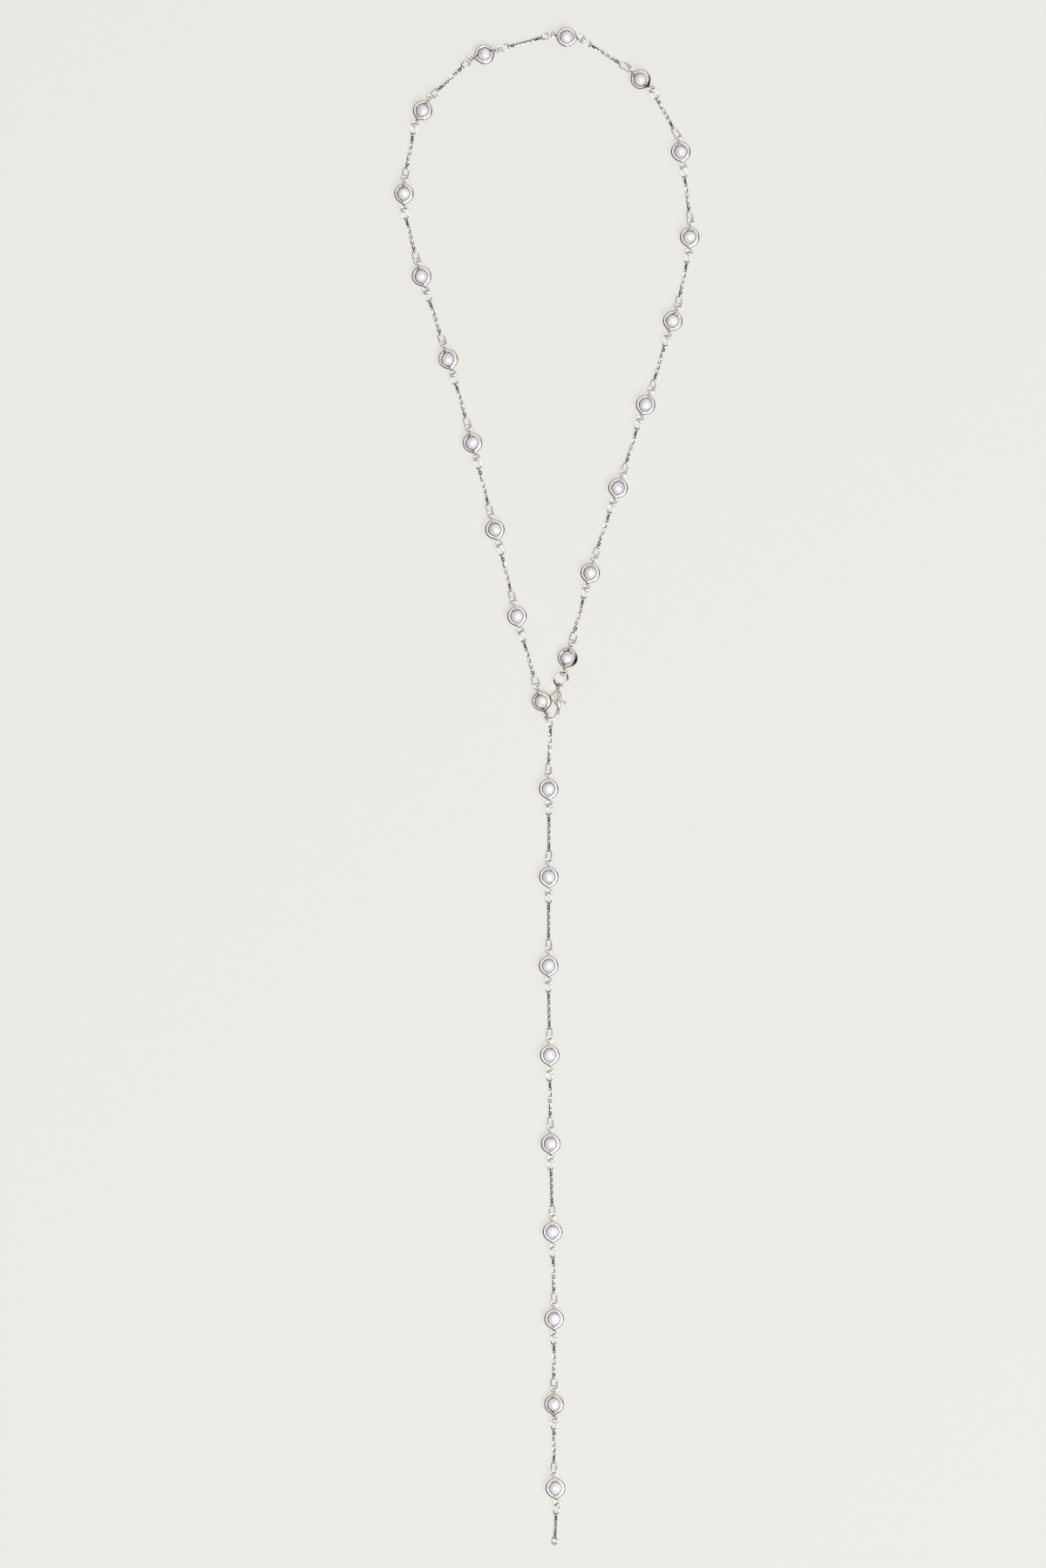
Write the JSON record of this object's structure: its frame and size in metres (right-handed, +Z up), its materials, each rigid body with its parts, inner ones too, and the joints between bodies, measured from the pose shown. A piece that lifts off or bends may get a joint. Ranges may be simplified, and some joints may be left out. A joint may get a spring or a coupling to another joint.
{
  "type": "pearl station necklace with a lobster clasp",
  "caption": "Long lariat-style necklace of round pearls in ring settings on fine cable chain, closed by a lobster clasp and lying flat with a free tail.",
  "frame": {"origin": "middle of the necklace's outline, on the surface that it lies on", "axes": "+X across the neck loop, +Y along the tail towards the top of the neck loop, +Z up from the surface"},
  "size_m": [0.0956, 0.4746, 0.0043],
  "materials": {
    "pearl": "nacre lustre, white with a pale lilac-grey tone",
    "setting_metal": "polished silver-tone plating",
    "chain_metal": "polished silver-tone wire"
  },
  "bodies": {
    "necklace": {"pearl_01": "pearl", "pearl_02": "pearl", "pearl_03": "pearl", "pearl_04": "pearl", "pearl_05": "pearl", "pearl_06": "pearl", "pearl_07": "pearl", "pearl_08": "pearl", "pearl_09": "pearl", "pearl_10": "pearl", "pearl_11": "pearl", "pearl_12": "pearl", "pearl_13": "pearl", "pearl_14": "pearl", "pearl_15": "pearl", "pearl_16": "pearl", "pearl_17": "pearl", "pearl_18": "pearl", "pearl_19": "pearl", "pearl_20": "pearl", "pearl_21": "pearl", "pearl_22": "pearl", "pearl_23": "pearl", "pearl_24": "pearl", "pearl_25": "pearl", "pearl_26": "pearl", "pearl_27": "pearl", "settings_loop": "setting_metal", "settings_tail": "setting_metal", "jump_ring": "setting_metal", "end_ring": "setting_metal", "clasp_body": "setting_metal", "oval_links_loop": "chain_metal", "oval_links_tail": "chain_metal", "fine_chain_loop": "chain_metal", "fine_chain_tail": "chain_metal"},
    "lever": {"clasp_lever": "setting_metal"}
  },
  "joints": [
    {"name": "lever_pivot", "type": "hinge", "parent": "necklace", "child": "lever", "pos_m": [0.00313, 0.02773, 0.00085], "axis": [0, 0, 1], "range_deg": [0, 14], "stiffness_Nm_per_rad": 0.0005, "springref_deg": -11.46}
  ]
}
